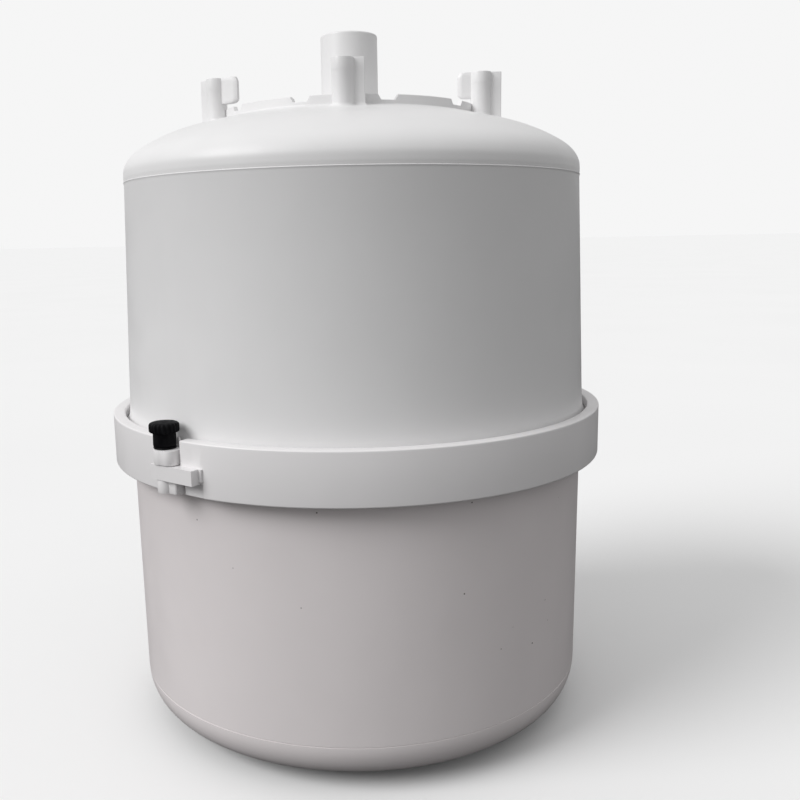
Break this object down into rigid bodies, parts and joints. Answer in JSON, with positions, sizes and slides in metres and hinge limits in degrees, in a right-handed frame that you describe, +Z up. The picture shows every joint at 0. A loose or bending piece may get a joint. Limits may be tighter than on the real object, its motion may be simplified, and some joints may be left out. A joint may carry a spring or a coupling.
{
  "type": "steam cylinder",
  "caption": "Openable two-part steam cylinder of an electrode-boiler humidifier, with a hinged clamp ring, screw closure, terminal posts and a central steam outlet.",
  "frame": {"origin": "middle of the circle that the foot ring stands on", "axes": "+Z up along the vessel, steam outlet on top; -Y is the side with the front terminal post; the clamp's screw closure is 40 degrees from -Y towards -X"},
  "size_m": [0.3314, 0.3314, 0.453],
  "materials": {
    "upper_plastic": "satin moulded polypropylene, neutral white",
    "lower_plastic": "satin moulded polypropylene, slightly warm white",
    "ring_plastic": "satin moulded glass-filled polypropylene, white",
    "black_plastic": "satin black polyamide, knurled",
    "stainless": "brushed stainless steel",
    "brass": "turned brass",
    "rubber": "matt black EPDM",
    "ptfe": "smooth white PTFE",
    "strainer_plastic": "plain moulded polypropylene"
  },
  "bodies": {
    "vessel": {"upper_shell": "upper_plastic", "lower_shell": "lower_plastic", "flange_gasket": "rubber", "clamp_half_left": "ring_plastic", "clamp_hinge_pin": "stainless", "clamp_insert": "brass", "electrode_nut_front": "brass", "electrode_seal_front": "rubber", "electrode_pin_front": "stainless", "electrode_plate_front": "stainless", "sensor_nut_right": "brass", "sensor_seal_right": "rubber", "sensor_pin_right": "stainless", "sensor_sleeve_right": "ptfe", "electrode_nut_rear_right": "brass", "electrode_seal_rear_right": "rubber", "electrode_pin_rear_right": "stainless", "electrode_plate_rear_right": "stainless", "electrode_nut_rear_left": "brass", "electrode_seal_rear_left": "rubber", "electrode_pin_rear_left": "stainless", "electrode_plate_rear_left": "stainless", "sensor_nut_left": "brass", "sensor_seal_left": "rubber", "sensor_pin_left": "stainless", "sensor_sleeve_left": "ptfe", "drain_seal": "rubber", "drain_strainer": "strainer_plastic"},
    "clamp_gate": {"clamp_half_right": "ring_plastic"},
    "closure_washer": {"clamp_washer": "black_plastic"},
    "closure_screw": {"clamp_knob": "black_plastic", "clamp_stud": "stainless"}
  },
  "joints": [
    {"name": "clamp_open", "type": "hinge", "parent": "vessel", "child": "clamp_gate", "pos_m": [0.1011, 0.13915, 0.1953], "axis": [0, 0, 1], "range_deg": [0, 110]},
    {"name": "knob_lift", "type": "slide", "parent": "vessel", "child": "closure_washer", "axis": [0, 0, 1], "range_m": [0, 0.0064]},
    {"name": "knob_turn", "type": "hinge", "parent": "closure_washer", "child": "closure_screw", "pos_m": [-0.1067, -0.12716, 0.2056], "axis": [0, 0, 1], "range_deg": [0, 2880]}
  ],
  "couplings": [
    {"joint": "knob_lift", "follows": "knob_turn", "m_per_rad": 0.000127}
  ]
}
